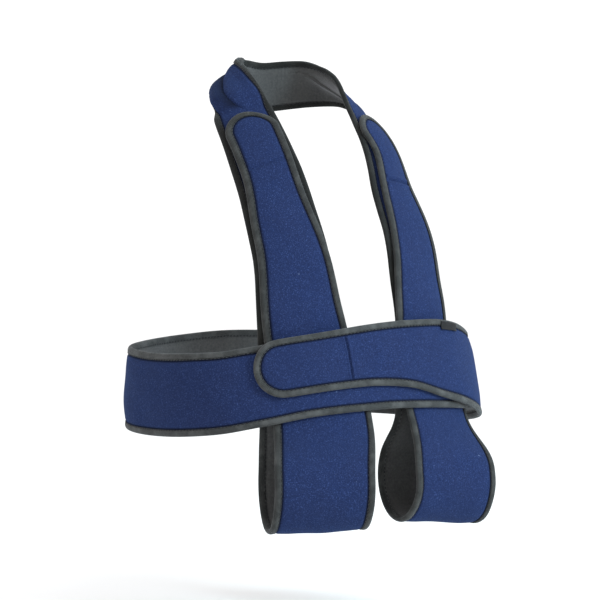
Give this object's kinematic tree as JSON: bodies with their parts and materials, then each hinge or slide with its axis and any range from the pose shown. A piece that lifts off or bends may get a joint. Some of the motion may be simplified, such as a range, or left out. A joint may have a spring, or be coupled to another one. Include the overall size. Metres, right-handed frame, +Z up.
{
  "type": "arm immobilization vest",
  "caption": "Padded blue strap set that carries a forearm across the chest: a neck strap, a loop at the elbow end, a loop at the wrist end and a chest belt, in the form it has when worn",
  "frame": {"origin": "where the neck strap bears on the nape: its inner face at the back of the neck, at half its width", "axes": "the wearer faces -Y, +X is the wearer's left, +Z is up"},
  "size_m": [0.3754, 0.3369, 0.4812],
  "materials": {
    "blue_foam": "brushed loop pile over foam",
    "grey_tape": "woven binding tape",
    "dark_tape": "woven binding tape",
    "hook_nylon": "woven hook pad",
    "label_satin": "woven satin tab"
  },
  "bodies": {
    "root": {"neck_strap": "blue_foam", "neck_strap_binding": "dark_tape", "elbow_loop": "blue_foam", "elbow_loop_binding": "grey_tape", "elbow_loop_hook": "hook_nylon", "wrist_loop": "blue_foam", "wrist_loop_binding": "grey_tape", "wrist_loop_hook": "hook_nylon", "chest_belt": "blue_foam", "chest_belt_binding": "grey_tape", "chest_belt_hook": "hook_nylon", "belt_tab": "label_satin"}
  },
  "joints": []
}
